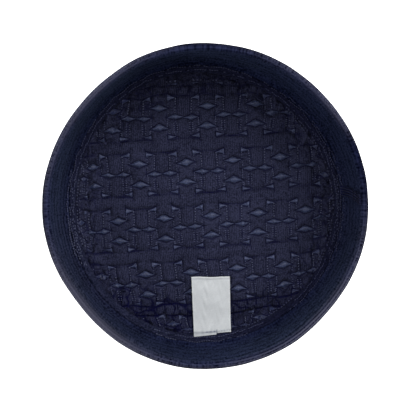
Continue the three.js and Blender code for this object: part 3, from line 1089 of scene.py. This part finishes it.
# A smooth closed line through the corners: Catmull-Rom pieces, then even steps by length
def smoothLoop(corners, count):
    b, s, e, a = (np.roll(corners, turn, 0)[:, None, :] for turn in (1, 0, -1, -2))
    t = np.linspace(0, 1, 24, endpoint=False)[None, :, None]
    line = 0.5 * (2 * s + (e - b) * t + (2 * b - 5 * s + 4 * e - a) * t**2 + (3 * s - b - 3 * e + a) * t**3)
    line = line.reshape(-1, corners.shape[1])
    line = np.concatenate([line, line[:1]])
    length = np.concatenate([[0], np.cumsum(np.linalg.norm(np.diff(line[:, :2], axis=0), axis=1))])
    places = np.linspace(0, length[-1], count, endpoint=False)
    return np.stack([np.interp(places, length, line[:, k]) for k in range(line.shape[1])], -1), places


# The wall: the smooth profile carried round the cap's outline, with soft waves and small puckers at the seam
def bandSurface(angle, profile):
    radius, height, lift = (profile[:, k][:, None] for k in range(3))
    loose, low = (between(height, *band[key]) for key in ("waveHeights", "puckerHeights"))
    around = angle * band["round"]
    wave = band["wave"] * softNoise(around, height, band["waveSize"], 1.1, 2) * loose
    upright = height * band["puckerStretch"]
    pucker = band["pucker"] * softNoise(around, upright, band["puckerSize"], 2.2, 2) * low
    return capPoint((radius + wave + pucker) * mm, height * mm, angle, lift)


# The band, and its places as attributes. seen is the radius in mm that a place is seen at from above: its
# own, enlarged by its nearness to the camera.
def makeBand(material):
    profile, lengths = smoothLoop(bandCorners, band["rows"])
    angle, quads = tubeGrid(band)
    points = bandSurface(angle, profile)
    uv = np.stack(np.broadcast_arrays(angle * band["round"], lengths[:, None]), -1)
    degrees = np.degrees(angle)
    radius, height = profile[:, 0][:, None], profile[:, 1][:, None]
    eye = stageLook["cameraHeight"]
    seen = radius * (eye - stageLook["rimLevel"]) / (eye - height * mm)
    # Painted highlight on the rim and painted light on the wall, in a pale colour
    paintedLight = placesRound(degrees, band["paintedLightPlaces"])
    # Painted shade on the rim's outer side, less under the painted highlight
    outline = eased(seen, *band["outline"]) * (1 - band["outlineUnderLight"] * np.minimum(paintedLight, 1))
    outline = np.maximum(outline, placesRound(degrees, band["darkPlaces"], seen))
    run = np.roll(profile, -1, 0) - np.roll(profile, 1, 0)
    facing = run[:, 1] * np.sign(run[profile[:, 0].argmax(), 1]) / np.hypot(run[:, 0], run[:, 1])
    outside = eased(facing[:, None], *band["facing"]) * eased(height, *band["outsideUpTo"])
    lined = (band["linedAllRound"] + placesRound(degrees, band["linedPlaces"], seen)) * (1 - outside)
    paintedLight = np.maximum(paintedLight + band["paintedLightAllRound"] + placesRound(degrees, band["paintedLightLess"]), 0)
    below, *belowHeights = band["paintedLightBelow"]
    onRim = eased(height, *band["paintedLightHeights"]) * eased(radius, *band["paintedLightRadii"])
    paintedLight = paintedLight * (onRim + below * eased(height, *belowHeights))
    paintedLight = paintedLight + placesRound(degrees, band["paintedLightWall"], seen)
    paintedLight = paintedLight + placesRound(degrees, band["paintedLightUpper"], height)
    attributes = {"paintedLight": paintedLight, "seen": seen, "outline": outline, "lined": lined, "outside": outside}
    attributes = {key: np.broadcast_to(value, points.shape[:2]) for key, value in attributes.items()}
    return makeMesh("band_knit", points, quads, uv=uv, attributes=attributes, material=material)


# Jersey: courses round the wall as fine lines, knit grain, a painted highlight in a pale colour on the rim
# with painted light on the wall, and painted shade on the rim's outer side and on the outside
def makeJerseyMaterial():
    material, tree, shader = newMaterial("navyJersey", band["surface"])
    place, _ = objectAxes(tree)
    round_, along = uvAxes(tree)
    patches = noiseOf(tree, place, band["patchSize"], 3.0)
    paintedLight = attributeOf(tree, "paintedLight")
    grainRound, grainUp = band["grainSize"]
    upright = along / (grainUp - paintedLight * band["paintedLightGrain"])
    knit = newNode(tree, "ShaderNodeCombineXYZ", {0: round_ / grainRound, 1: upright}).outputs[0]
    grain = noiseOf(tree, knit, 1.0, 1.0) - 0.5
    blotches = noiseOf(tree, place, band["blotchSize"], 1.0) - 0.5
    start = band["courseAt"] - band["coursePitch"] / 4 + band["courseSway"] / 2
    course = attributeOf(tree, "seen") + patches * band["courseSway"] - start
    course = (course.ripple(band["coursePitch"]) - 0.5) * attributeOf(tree, "lined")
    outside = attributeOf(tree, "outside")
    tone = grain * band["grainTone"] + (patches - 0.5) * band["patchTone"] + course * band["courseTone"]
    tone = (tone + blotches * band["blotchTone"]) * (1 - outside * band["outsideCalm"]) + 0.5
    # Painted shade on the rim's outer side and on the outside, on the colour and the sheen
    shade = 1 - attributeOf(tree, "outline") * band["outlineShade"]
    shade = shade * (1 - outside * band["outsideShade"])
    byGrain, byBlotch, byCourse = band["sheenTones"]
    sheen = (grain * byGrain + blotches * byBlotch + course * byCourse + 1.0) * shade
    sheen = sheen * band["surface"]["Sheen Weight"]
    tree.links.new(sheen.socket, shader.inputs["Sheen Weight"])
    paint(tree, shader, band, tone, shade, band["blueKept"])
    byGrain, byCourse, least = band["highlightTones"]
    # painted highlight and light, in their pale colour
    paintOver(tree, shader, paintedLight * (grain * byGrain + course * byCourse + least), band["highlightColour"])
    paintOver(tree, shader, outside * band["outsideTinted"], band["outsideTint"])
    raiseBump(tree, shader, grain * band["grainHeight"] + course * band["courseHeight"])
    return material


bandKnit = makeBand(makeJerseyMaterial())
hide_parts("band")

print("stage: the seam's tape and its stitching")
tape = {
    "columns": 360,
    "rows": 36,
    "round": 82,  # mm from the axis, to measure lengths round the cap
    "ripple": 0.10,  # mm
    "rippleSize": 5.5,
    "topRadii": (74, 78.5, 80.6, 81.5, 82.2, 83, 84.1, 84.8, 86.2, 87.9),  # its upper face, in mm
    "topLevels": (3.3, 4.9, 5.6, 6.4, 7.6, 8.9, 10.2, 11.3, 12, 16.3),
    "innerEdge": 81.4,
    "dark": (0.002, 0.003, 0.012),
    "light": (0.017, 0.019, 0.047),
    "grain": 850.0,
    "contrast": 3.4,
    "surface": clothSurface(0.9, 0.05, 0.05, 0.5, (0.55, 0.58, 0.8)),
    # Painted shade towards these degrees, and painted light where the change is below zero, growing between
    # these distances from the middle
    "shadedPlaces": ((48, 0.3), (132, 0.24), (318, 0.36), (220, -0.45)),
    "shadedGrows": (60 * mm, 82 * mm),
}
# Each row is a corner of the tape, as radius and height in mm: its underside from the crown to the band, and
# back on top
tapeCorners = np.array(
    [
        (81.8, 5.7), (83.0, 6.2), (83.9, 7.9), (84.9, 9.9), (85.5, 11.1),
        (84.8, 11.3), (84.1, 10.2), (83.0, 8.9), (82.2, 7.6), (81.5, 6.4),
    ]
)


def makeTape(material):
    profile, _ = smoothLoop(tapeCorners, tape["rows"])
    angle, quads = tubeGrid(tape)
    radius, height = (profile[:, k][:, None] for k in (0, 1))
    ripple = tape["ripple"] * softNoise(angle * tape["round"], radius, tape["rippleSize"], 0.3, 2)
    points = capPoint(radius * mm, (height + ripple) * mm, angle)
    return makeMesh("seam_tape_cloth", points, quads, material=material)


# Level of the tape's upper face at a radius, in mm
def tapeTop(radius):
    return np.interp(radius, tape["topRadii"], tape["topLevels"])


tapeMaterial = makeThreadMaterial("navyTape", tape)
tapeCloth = makeTape(tapeMaterial)
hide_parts("seam_tape")

threads = {
    "dark": (0.020, 0.024, 0.058),
    "light": (0.085, 0.094, 0.170),
    "grain": 1500.0,
    "contrast": 1.6,
    "surface": clothSurface(0.7, 0.2, 0.08, 0.4, (0.6, 0.65, 0.9)),
    "seamPitch": (1.5 * mm, 1.95 * mm),  # of the fine rows and of the coarse ones
    "seamLength": (1.25 * mm, 1.15 * mm),
    "seamWidth": (0.62 * mm, 0.78 * mm),
    "seamArch": 0.22 * mm,
    "seamProud": 0.1 * mm,
    "seamFacing": (-0.5, 0.87),  # the tape faces inwards and up
    "seamRound": 83,  # mm from the axis, to measure lengths round the cap
    "seamWander": 0.3,  # mm that a row wanders, and the size of its bends
    "seamBends": 14.0,
    "seamJitter": 0.2,
    "ragged": 5,  # degrees by which the open stretches end unevenly
    "raggedSize": 40.0,
    "sunkSize": 9.0,
    "sunkFrom": 0.5,  # value of the noise past which a stitch is sunk
    "looperPitch": 1.35 * mm,
    "looperLean": 0.35,
    "looperWidth": 0.55 * mm,
    "quiltWidth": 0.78 * mm,
    "quiltArch": 0.16 * mm,
    "quiltJitter": 0.25,
    "proud": 0.12 * mm,
}
# The seam's stitches get the tape's painted shade and light
seamThread = dict(threads, shadedPlaces=tape["shadedPlaces"], shadedGrows=tape["shadedGrows"])
# A paler copy of the thread, for stitches that lie open: a painted highlight
quiltThread = dict(threads, dark=(0.034, 0.039, 0.082), light=(0.125, 0.138, 0.218), grain=900.0)
threadMaterial = makeThreadMaterial("navyThread", threads)
seamThreadMaterial = makeThreadMaterial("navySeamThread", seamThread)
quiltThreadMaterial = makeThreadMaterial("paleNavyThread", quiltThread)
# Rows of stitches round the seam: their radius in mm, and the stretches where they are seen, in degrees
# as the middle and half the width. The coarse rows have fewer and thicker stitches.
seamRows = [
    {"radius": 85.4, "open": [(122, 84), (0, 38), (270, 20), (316, 7)], "coarse": False},
    {"radius": 83.1, "open": [(122, 88), (2, 34), (274, 24), (322, 10)], "coarse": False},
    {"radius": 81.2, "open": [(8, 42), (182, 22), (300, 12)], "coarse": True},
    {"radius": 84.0, "open": [(2, 26), (188, 15)], "coarse": True},
    {"radius": 86.7, "open": [(10, 40), (184, 17)], "coarse": False},
    {"radius": 79.5, "open": [(40, 15), (184, 15), (340, 9)], "coarse": True},
]
# Where the looper threads between the two outer rows are seen, in degrees: the middle and half the width
ladders = [(-1, 16), (142, 8), (192, 13), (247, 11)]


# Where stitches are open to view: within a stretch, with ragged ends, and not sunk where a noise is high
def openToView(angle, stretches, seed):
    along = angle * threads["seamRound"]
    ragged = threads["ragged"] * softNoise(along, 0, threads["raggedSize"], seed, 2)
    away = [np.abs(degreesFrom(np.degrees(angle), middle)) + ragged - half for middle, half in stretches]
    sunk = softNoise(along, 3 * seed, threads["sunkSize"], seed + 0.4, 2) > threads["sunkFrom"]
    return (np.min(away, axis=0) < 0) & ~sunk


# Place of a stitch on the seam's tape, or on the crown beside it
def seamPoint(radius, angle):
    point = capPoint(radius * mm, 0, angle)
    onCrown = crownTop(point[..., 0], point[..., 1])[0]
    onTape = tapeTop(radius) * mm
    point[..., 2] = np.where(radius < tape["innerEdge"], onCrown, onTape) + threads["seamProud"]
    return point


# Stitches between two places round the seam, each given as a radius in mm and an angle
def seamRings(radius1, angle1, radius2, angle2, width):
    starts, ends = seamPoint(radius1, angle1), seamPoint(radius2, angle2)
    flat, up = threads["seamFacing"]
    normals = np.stack([flat * np.cos(angle1), flat * np.sin(angle1), np.full(angle1.shape, up)], -1)
    return stitchRings(starts, ends, normals, width, threads["seamArch"])


# Coverstitch: rows of needle stitches round the seam, with looper threads that zigzag between them
def makeSeamStitches():
    needles = []
    for number, row in enumerate(seamRows):
        radius = row["radius"]
        pitch, length, width = (threads[f"seam{key}"][row["coarse"]] for key in ("Pitch", "Length", "Width"))
        count = int(2 * np.pi * radius * mm / pitch)
        angle = (np.arange(count) + 0.37 * number) * 2 * np.pi / count
        angle = angle[openToView(angle, row["open"], number)]
        along = angle * threads["seamRound"]
        at = radius + threads["seamWander"] * softNoise(along, radius, threads["seamBends"], number, 2)
        at = at + threads["seamJitter"] * (scatter(np.arange(len(angle)), radius) - 0.5)
        half = length / 2 / (radius * mm)
        needles.append(seamRings(at, angle - half, at, angle + half, width))
    outer, inner = (row["radius"] for row in seamRows[:2])
    count = int(2 * np.pi * inner * mm / threads["looperPitch"])
    angle = np.arange(count) * 2 * np.pi / count
    angle = angle[openToView(angle, ladders, 7)]
    lean = threads["looperLean"] * threads["looperPitch"] / (inner * mm)
    ones = np.ones(angle.shape)
    starts, ends = (ones * (inner + 0.3), angle - lean), (ones * (outer - 0.3), angle + lean)
    loopers = seamRings(*starts, *ends, threads["looperWidth"])
    threadMesh("seam_needle_stitches", np.concatenate(needles), seamThreadMaterial)
    threadMesh("seam_looper_threads", loopers, tapeMaterial)


# Each row is a line of the bars' stitching in mm from a block's middle: where it starts across and up,
# the step to the next stitch, how many there are, one stitch's own length across and up, and whether its
# thread lies open and pale with a painted highlight, or is sunk in the cloth
quiltLines = [
    {"at": (9.9, 3.3), "step": (0.0, 1.58), "count": 6, "stitch": (0.0, 0.85), "pale": True},
    {"at": (5.5, 7.3), "step": (0.0, 1.45), "count": 3, "stitch": (0.0, 0.8), "pale": False},
    {"at": (5.7, 2.6), "step": (0.0, 1.5), "count": 2, "stitch": (0.0, 0.7), "pale": False},
    {"at": (5.2, -0.8), "step": (0.0, -1.45), "count": 4, "stitch": (0.0, 1.0), "pale": False},
    {"at": (8.9, -3.7), "step": (0.0, -1.35), "count": 5, "stitch": (0.85, 0.25), "pale": False},
    {"at": (10.8, -3.7), "step": (0.0, -1.35), "count": 5, "stitch": (0.75, 0.25), "pale": False},
    {"at": (5.9, -8.4), "step": (0.15, -1.1), "count": 2, "stitch": (1.3, -0.6), "pale": False},
]


# Stitches on both bars of every motif, on the crown's own surface
def makeQuiltStitches(name, pale, material):
    rows = []
    for number, line in enumerate(line for line in quiltLines if line["pale"] == pale):
        for side in (-1, 1):
            for k in range(line["count"]):
                across = side * (line["at"][0] + k * line["step"][0])
                up = line["at"][1] + k * line["step"][1]
                motif, block = blocksAround(across, up)
                slip = threads["quiltJitter"] * (scatter(np.arange(len(motif)), k + 7 * number, side) - 0.5)
                ends = []
                for sign in (-0.5, 0.5):
                    a = motif + (side * sign * line["stitch"][0] + slip) / quilt["motifPitch"]
                    b = block + (sign * line["stitch"][1] + slip) / quilt["blockPitch"]
                    x, y = patternPlace(a, b)
                    ends.append(np.stack([x, y, crownTop(x, y)[0] + threads["proud"]], -1))
                normals = np.zeros_like(ends[0]) + [0, 0, 1]
                rows.append(stitchRings(*ends, normals, threads["quiltWidth"], threads["quiltArch"]))
    threadMesh(name, np.concatenate(rows), material)


makeSeamStitches()
makeQuiltStitches("pale_quilting_stitches", True, quiltThreadMaterial)
makeQuiltStitches("sunk_quilting_stitches", False, threadMaterial)

print("stage: the joint of the band's ends")
joint = {
    "angleAtCrown": math.radians(5.9),
    "angleAtRim": math.radians(2.2),
    "halfWidth": 3.0,
    "footHeight": 11.6,
    "endHeight": 75,
    "wallHeight": 76,
    "proud": (0.55, 0.4),  # mm at its back, and more at its front
    "grooves": (-0.8, -0.27, 0.27, 0.8),  # their places across it, as shares of half the width
    "grooveWidth": 0.11,
    "grooveDepth": 0.35,
    # painted shade in the grooves
    "grooveShade": 0.85,
    "zigzag": (14, 44, 50, 56, 62, 67, 71, 74, 75.6),  # heights in mm of the overlock's turns
    "zigzagHalf": 0.22,
    "zigzagProud": 1.1,
    "zigzagWidth": 0.55 * mm,
    "zigzagArch": 0.1 * mm,
    "dark": (0.010, 0.012, 0.034),
    "light": (0.038, 0.042, 0.098),
    "contrast": 3.0,
    "surface": clothSurface(0.95, 0.0, 0.05, 0.4, (0.40, 0.55, 0.90)),
}


# Inner wall of the band at a height, in mm: the inside half of the profile's table
def innerWall(height):
    rows = bandCorners[9:][::-1]
    return np.interp(height, rows[:, 1], rows[:, 0]), np.interp(height, rows[:, 1], rows[:, 2])


# Point on the joint: side from -1 to 1 across it, height up the wall, proud of the wall
def jointPoint(side, height, proud):
    radius, lift = innerWall(height)
    share = (height - joint["footHeight"]) / (joint["wallHeight"] - joint["footHeight"])
    middle = joint["angleAtCrown"] + (joint["angleAtRim"] - joint["angleAtCrown"]) * share
    angle = middle + side * joint["halfWidth"] / radius
    return capPoint((radius - proud) * mm, height * mm, angle, lift)


# The ridge's cloth, with painted shade in its grooves. The UV map is the place across, and the height in mm.
def makeJointMaterial():
    material, tree, shader = newMaterial("navyJoint", joint["surface"])
    place, _ = objectAxes(tree)
    side, _ = uvAxes(tree)
    grain = noiseOf(tree, place, 1200.0, 1.0)
    grooves = highestOf(*(side.hill(at, joint["grooveWidth"]) for at in joint["grooves"]))
    tone = (grain - 0.5) * joint["contrast"] + 0.5
    paint(tree, shader, joint, tone, 1 - grooves * joint["grooveShade"])
    raiseBump(tree, shader, grain * (0.1 * mm))
    return material


# The joint: a flat ridge with lengthwise grooves, and the overlock's zigzag over its upper half
def makeJoint():
    height = np.linspace(joint["footHeight"], joint["endHeight"], 90)[:, None]
    turn = np.linspace(0, 2 * np.pi, 49)[:-1][None, :]
    side = np.cos(turn)
    depth = sum(hill(side, at, joint["grooveWidth"]) for at in joint["grooves"]) * joint["grooveDepth"]
    least, more = joint["proud"]
    front = np.maximum(np.sin(turn), 0) ** 0.5
    points = jointPoint(side, height, least + more * front - depth * (np.sin(turn) > 0.05))[:, ::-1]
    uv = np.stack(np.broadcast_arrays(side, height), -1)[:, ::-1]
    piece = threadMesh("band_joint_ridge", points[None], makeJointMaterial(), uv=uv)
    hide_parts("band_joint")
    rows = []
    for groove in joint["grooves"]:
        at = np.array(joint["zigzag"])
        side = groove + joint["zigzagHalf"] * np.where(np.arange(len(at)) % 2, 1, -1)
        turns = jointPoint(side, at, joint["zigzagProud"])
        normals = np.zeros_like(turns[1:]) - [1, 0, 0]
        rows.append(stitchRings(turns[:-1], turns[1:], normals, joint["zigzagWidth"], joint["zigzagArch"]))
    threadMesh("overlock_threads", np.concatenate(rows), tapeMaterial)


makeJoint()

print("stage: the label")
label = {
    "upperLeft": (-7.7, -45.8),
    "upperRight": (16.5, -45.6),
    "lowerLeft": (-6.1, -82.4),
    "lowerRight": (17.1, -79.9),
    "clear": 0.75,  # mm above the pillows and the tape
    "thickness": 0.5,
    "foldRise": 0.3,  # mm more at the folded upper edge
    "foldEnds": ((0.962, 0.972), (0.99, 1)),
    "step": 0.9,  # mm by which the lower edge's left part hangs lower
    "stepShares": (0.6, 0.4),  # of it at the left, and more to the right
    "stepAt": 0.6,
    "stepEase": 0.03,
    "stepEnd": 0.12,
    "edgeWave": 0.18,  # mm that the upper edge is out of straight
    "edgeWaves": 9,
    "edgeWaveGrows": (0.8, 1),
    "ripple": 0.18,  # mm of soft waves, and of small puckers where it is sewn in
    "rippleSize": 16.0,
    "pucker": 0.16,
    "puckerSize": 6.0,
    "puckerStretch": 0.6,
    "puckerEnd": 0.2,
    # Dark and pale marks as shares of the label's width or length: where, how wide, and how strong
    "selvedge": (0.012, 0.022, 1.3),
    "rightSelvedge": (0.99, 0.016, 1.0),
    "foldedEdge": (0.99, 0.011, 1.0),
    "foldShadow": (0.957, 0.012, 0.12),
    "stitching": (0.048, 0.013, 0.85),
    "stitchingShade": (0.038, 0.03, 0.3),
    "nick": (0.62, 0.018, 0.8),
    "ticks": (0.03, 0.014, 0.35),
    "stitchingStarts": (0.1, 0.4),
    "nickEnds": (0.05, 0.085),
    "leftEnds": (0.58, 0.61),
    "dashes": (3.2, 0.35, 0.65),
    "dashedWidth": 30.0,  # mm
    "tickPitch": 2.2,
    "patchSize": 130.0,
    "grainSize": 1400.0,
    "tones": (1.1, 1.3, 1.2, 0.4),  # of patches, grain and selvedges, and what is added
    "grainHeight": 0.05 * mm,
    "ribbedLength": 36.8,  # mm
    "ribPitch": 0.42,
    "ribHeight": 0.03 * mm,
    "navy": (0.05, 0.065, 0.13),
    "dark": (0.498, 0.520, 0.538),
    "light": (0.583, 0.605, 0.621),
    "surface": clothSurface(0.5, 0.5, 0.0, 0.5, (1.0, 1.0, 1.0)),
}


# Level of the label's underside at a radius, in mm: on the pillows, and at its lower end on the tape
def labelRest(radius):
    at = radius * mm
    pillows = crownUnderside(at) + cap["crownCloth"] + quilt["rise"] * (1 - eased(at, *quilt["fade"]))
    return label["clear"] + np.maximum((pillows + edgeLift(at)) / mm, tapeTop(radius))


# Woven satin: pale selvedges and a pale folded edge with a shadow line below it, a line of navy stitching
# through the lower end's left part with a nick beside it, and fine uneven ribs across. The UV map is shares
# across and along.
def makeLabelMaterial():
    material, tree, shader = newMaterial("whiteSatin", label["surface"])
    place, _ = objectAxes(tree)
    across, along = uvAxes(tree)

    # A mark of the look across a value
    def mark(name, value):
        at, width, strength = label[name]
        return value.hill(at, width) * strength

    patches = noiseOf(tree, place, label["patchSize"], 2.0)
    grain = noiseOf(tree, place, label["grainSize"], 1.0)
    selvedge = highestOf(mark("selvedge", across), mark("rightSelvedge", across), mark("foldedEdge", along))
    byPatches, byGrain, bySelvedge, least = label["tones"]
    tone = (patches - 0.5) * byPatches + (grain - 0.5) * byGrain + selvedge * bySelvedge + least
    inMm = across * label["dashedWidth"]
    pitch, more, dashed = label["dashes"]
    left = 1 - across.rise(*label["leftEnds"])
    dashes = inMm.ripple(pitch) * more + dashed
    line = highestOf(
        mark("stitching", along) * left * across.rise(*label["stitchingStarts"]) * dashes,
        mark("stitchingShade", along) * left,
        mark("nick", across) * (1 - along.rise(*label["nickEnds"])),
        inMm.ripple(label["tickPitch"]) * (1 - left) * mark("ticks", along),
    )
    paint(tree, shader, label, tone, 1 - mark("foldShadow", along))
    paintOver(tree, shader, line, label["navy"])
    ribs = (along * label["ribbedLength"]).ripple(label["ribPitch"])
    raiseBump(tree, shader, grain * label["grainHeight"] + ribs * label["ribHeight"])
    return material


# The label: a thin strip on the pillows, uneven where it is sewn in, with a thicker fold at its upper edge
def makeLabel():
    across = np.linspace(0, 1, 61)[None, :, None]
    along = np.linspace(0, 1, 91)[:, None, None]
    low = np.array(label["lowerLeft"]) * (1 - across) + np.array(label["lowerRight"]) * across
    top = np.array(label["upperLeft"]) * (1 - across) + np.array(label["upperRight"]) * across
    place = low * (1 - along) + top * along
    x, y = place[..., 0], place[..., 1]
    across, along = across[..., 0], along[..., 0]
    hangs = 1 - eased(across, label["stepAt"], label["stepAt"] + label["stepEase"])
    least, more = label["stepShares"]
    hangs = label["step"] * hangs * (least + more * across)
    edgeWave = label["edgeWave"] * np.sin(label["edgeWaves"] * across) * eased(along, *label["edgeWaveGrows"])
    y = y - hangs * (1 - eased(along, 0, label["stepEnd"])) + edgeWave
    pucker = label["pucker"] * softNoise(x, y * label["puckerStretch"], label["puckerSize"], 1.9, 2)
    sewnIn = 1 - eased(along, 0, label["puckerEnd"])
    ripple = label["ripple"] * softNoise(x, y, label["rippleSize"], 0.8, 2) + pucker * sewnIn
    under = labelRest(crownDistance(x, y)) + ripple
    foldFrom, foldTo = (eased(along, *ends) for ends in label["foldEnds"])
    rise = label["foldRise"] * (foldFrom - foldTo)
    upper, lower = (
        np.stack([x, y, level], -1) * mm for level in (under + label["thickness"] + rise, under)
    )
    rings = np.concatenate([upper, lower[:, ::-1]], 1)
    flat = np.stack(np.broadcast_arrays(across, along), -1)
    uv = np.concatenate([flat, flat[:, ::-1]], 1)
    piece = threadMesh("label_satin", rings[None], makeLabelMaterial(), uv=uv)
    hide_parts("label")
    return piece


labelSatin = makeLabel()
